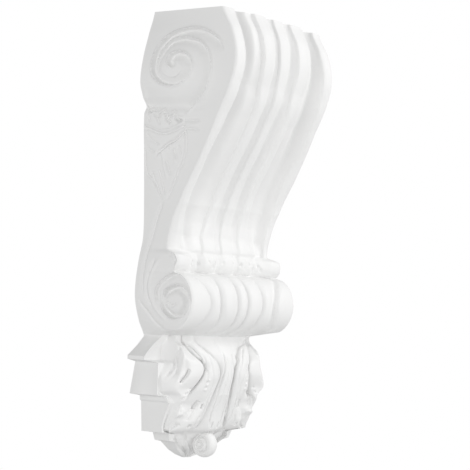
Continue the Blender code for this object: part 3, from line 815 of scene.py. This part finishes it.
class CORBEL_OT_console(bpy.types.Operator):
    """Carve the console: ridges, side volutes, side leaf, curls and reeded roll"""

    bl_idname = "corbel.console"
    bl_label = "Console"

    def execute(self, context):
        sizes = context.scene.corbel_sizes
        step = sizes.step * 1
        front_count = round(SHEET_HALF_WIDTH / step)
        side_count = round(SHEET_STANDOFF / step)
        heights = heights_between(SHEET_HEIGHT, SEAM_HEIGHT, step, [ROLL_FOOT])
        points = half_sheet(heights, console_line, front_count, side_count)
        carve_side(points, front_count, side_count)
        piece = closed_casting("corbel_console", to_metres(points, sizes), sizes.faces)
        dress(piece, context)
        return {"FINISHED"}


class CORBEL_OT_pendant(bpy.types.Operator):
    """Carve the pendant: stepped blocks and the leaf that lies over them"""

    bl_idname = "corbel.pendant"
    bl_label = "Pendant"

    def execute(self, context):
        sizes = context.scene.corbel_sizes
        coarser = 1
        per_station = round(PIECES_PER_STATION / coarser)
        side_count = round(PENDANT_SIDE_COLUMNS / coarser)
        marks = [up for up, half in PENDANT_WALL] + [NECK_HEIGHT]
        heights = heights_between(SEAM_HEIGHT, 0, sizes.step * PENDANT_STEP * coarser, marks)
        points = half_sheet(heights, pendant_line, per_station, side_count)
        carve_leaf(points, per_station * LEAF_CORNERS[-1] + 1)
        piece = closed_casting("corbel_pendant", to_metres(points, sizes), sizes.faces)
        dress(piece, context)
        return {"FINISHED"}


class CORBEL_OT_tip(bpy.types.Operator):
    """Roll up the tip of the pendant's leaf"""

    bl_idname = "corbel.tip"
    bl_label = "Rolled tip"

    def execute(self, context):
        sizes = context.scene.corbel_sizes
        unit = sizes.height / SHEET_HEIGHT
        shape = bmesh.new()
        radii = np.linspace(0, TIP_RADIUS, TIP_RINGS)
        half = list(zip(radii, profile(TIP_FACE, radii)))
        outline = half + [(radius, -across) for radius, across in reversed(half)]
        verts = [shape.verts.new((across * unit, 0, radius * unit)) for radius, across in outline]
        edges = [shape.edges.new(pair) for pair in zip(verts, verts[1:])]
        bmesh.ops.spin(
            shape, geom=verts + edges, cent=(0, 0, 0), axis=(1, 0, 0), angle=math.tau,
            steps=TIP_TURNS, use_merge=True,
        )
        bmesh.ops.remove_doubles(shape, verts=shape.verts, dist=unit * 0.01)
        centre = to_metres(np.array([0, *TIP_CENTRE], float), sizes)
        bmesh.ops.translate(shape, verts=shape.verts, vec=Vector(centre))
        bmesh.ops.recalc_face_normals(shape, faces=shape.faces)
        piece = link_piece("corbel_tip", shape)
        piece.data.shade_smooth()
        piece.data.set_sharp_from_angle(angle=math.radians(TIP_SHARP_ANGLE))
        dress(piece, context)
        return {"FINISHED"}


FLOOR_RADIUS = 4.0
FLOOR_SIDES = 96
LIGHT_DISTANCE = 2.6
LIGHT_SIZE = 1.2
# Name, bearing to the right of straight ahead and rise above the level, in degrees.
LIGHTS = [("front light", 15, 0), ("left light", -75, 0), ("right light", 45, 35)]
# The camera stands to the left, a little low, and is rolled slightly.
CAMERA_SPOT = (-1.4332, -1.1075, -0.0673)
CAMERA_RIGHT = (0.58915, -0.80648, 0.04989)
CAMERA_DOWN = (0.06326, -0.01552, -0.99788)
CAMERA_FORWARD = (0.80554, 0.59106, 0.04187)
SENSOR_WIDTH = 36.0
FOCUS_TO_WIDTH = 1561.5 / 470  # focal length against the picture's width


def aim(spot, target):
    """A turn that looks from a spot to a target."""
    return (Vector(target) - Vector(spot)).to_track_quat("-Z", "Y").to_euler()


def area_light(name, spot, target, size, power):
    """A square soft light that faces a target."""
    data = bpy.data.lights.new(name, "AREA")
    data.size = size
    data.energy = power
    lamp = bpy.data.objects.new(name, data)
    lamp.location = spot
    lamp.rotation_euler = aim(spot, target)
    bpy.context.scene.collection.objects.link(lamp)


class CORBEL_OT_stage(bpy.types.Operator):
    """Set the floor, the soft lights, the surround and the camera"""

    bl_idname = "corbel.stage"
    bl_label = "Stage"

    def execute(self, context):
        scene = context.scene
        settings = scene.corbel_stage
        shape = bmesh.new()
        bmesh.ops.create_circle(shape, cap_ends=True, segments=FLOOR_SIDES, radius=FLOOR_RADIUS)
        level = -scene.corbel_sizes.height / 2 - settings.floor_drop
        bmesh.ops.translate(shape, verts=shape.verts, vec=(0, 0, level))
        floor = link_piece("studio_floor", shape)
        paper = bpy.data.materials.new("pale floor")
        paper.use_nodes = True
        tree = paper.node_tree
        shader = tree.nodes["Principled BSDF"]
        place = add_node(tree, "ShaderNodeTexCoord", {}, {}, output="Object")
        cloud = noise(tree, place, 2.0, 2.0)
        tint = add_node(
            tree, "ShaderNodeMix", {"data_type": "RGBA"},
            {"Factor": cloud, 6: (0.90, 0.90, 0.90, 1), 7: (0.93, 0.93, 0.93, 1)}, output=2,
        )
        tree.links.new(tint.socket, shader.inputs["Base Color"])
        shader.inputs["Roughness"].default_value = 0.9
        floor.data.materials.append(paper)

        powers = (settings.front_power, settings.left_power, settings.right_power)
        for (name, bearing, rise), power in zip(LIGHTS, powers):
            reach = LIGHT_DISTANCE * math.cos(math.radians(rise))
            spot = (
                reach * math.sin(math.radians(bearing)),
                -reach * math.cos(math.radians(bearing)),
                LIGHT_DISTANCE * math.sin(math.radians(rise)),
            )
            area_light(name, spot, (0, 0, 0), LIGHT_SIZE, power)

        world = bpy.data.worlds.new("studio")
        world.use_nodes = True
        tree = world.node_tree
        seen = add_node(tree, "ShaderNodeLightPath", {}, {}, output="Is Camera Ray")
        strength = seen * (1 - settings.sky) + settings.sky
        background = tree.nodes["Background"]
        background.inputs["Color"].default_value = (1, 1, 1, 1)
        tree.links.new(strength.socket, background.inputs["Strength"])
        scene.world = world
        scene.view_settings.view_transform = "Standard"

        camera_data = bpy.data.cameras.new("camera")
        camera_data.sensor_width = SENSOR_WIDTH
        camera_data.lens = FOCUS_TO_WIDTH * SENSOR_WIDTH
        camera = bpy.data.objects.new("camera", camera_data)
        scene.collection.objects.link(camera)
        axes = (Vector(CAMERA_RIGHT), -Vector(CAMERA_DOWN), -Vector(CAMERA_FORWARD))
        turn = Matrix(axes).transposed()
        camera.matrix_world = Matrix.LocRotScale(CAMERA_SPOT, turn, None)
        scene.camera = camera
        return {"FINISHED"}


class CORBEL_PT_panel(bpy.types.Panel):
    """Sizes, finish and stage of the corbel, with the steps that make it"""

    bl_idname = "CORBEL_PT_panel"
    bl_label = "Scroll Corbel"
    bl_space_type = "VIEW_3D"
    bl_region_type = "UI"
    bl_category = "Corbel"

    def draw(self, context):
        for group in (
            context.scene.corbel_sizes, context.scene.corbel_finish, context.scene.corbel_stage,
        ):
            box = self.layout.box()
            for name in group.__annotations__:
                box.prop(group, name)
        for step in STEPS:
            self.layout.operator(step.bl_idname)


STEPS = (CORBEL_OT_stage, CORBEL_OT_console, CORBEL_OT_pendant, CORBEL_OT_tip)
GROUPS = (CorbelSizes, CorbelFinish, StageSettings)


def register():
    for item in GROUPS + STEPS + (CORBEL_PT_panel,):
        bpy.utils.register_class(item)
    bpy.types.Scene.corbel_sizes = PointerProperty(type=CorbelSizes)
    bpy.types.Scene.corbel_finish = PointerProperty(type=CorbelFinish)
    bpy.types.Scene.corbel_stage = PointerProperty(type=StageSettings)


def unregister():
    del bpy.types.Scene.corbel_sizes
    del bpy.types.Scene.corbel_finish
    del bpy.types.Scene.corbel_stage
    for item in reversed(GROUPS + STEPS + (CORBEL_PT_panel,)):
        bpy.utils.unregister_class(item)


def main():
    register()
    bpy.ops.corbel.stage()
    bpy.ops.corbel.console()
    bpy.ops.corbel.pendant()
    bpy.ops.corbel.tip()


if __name__ == "__main__":
    main()
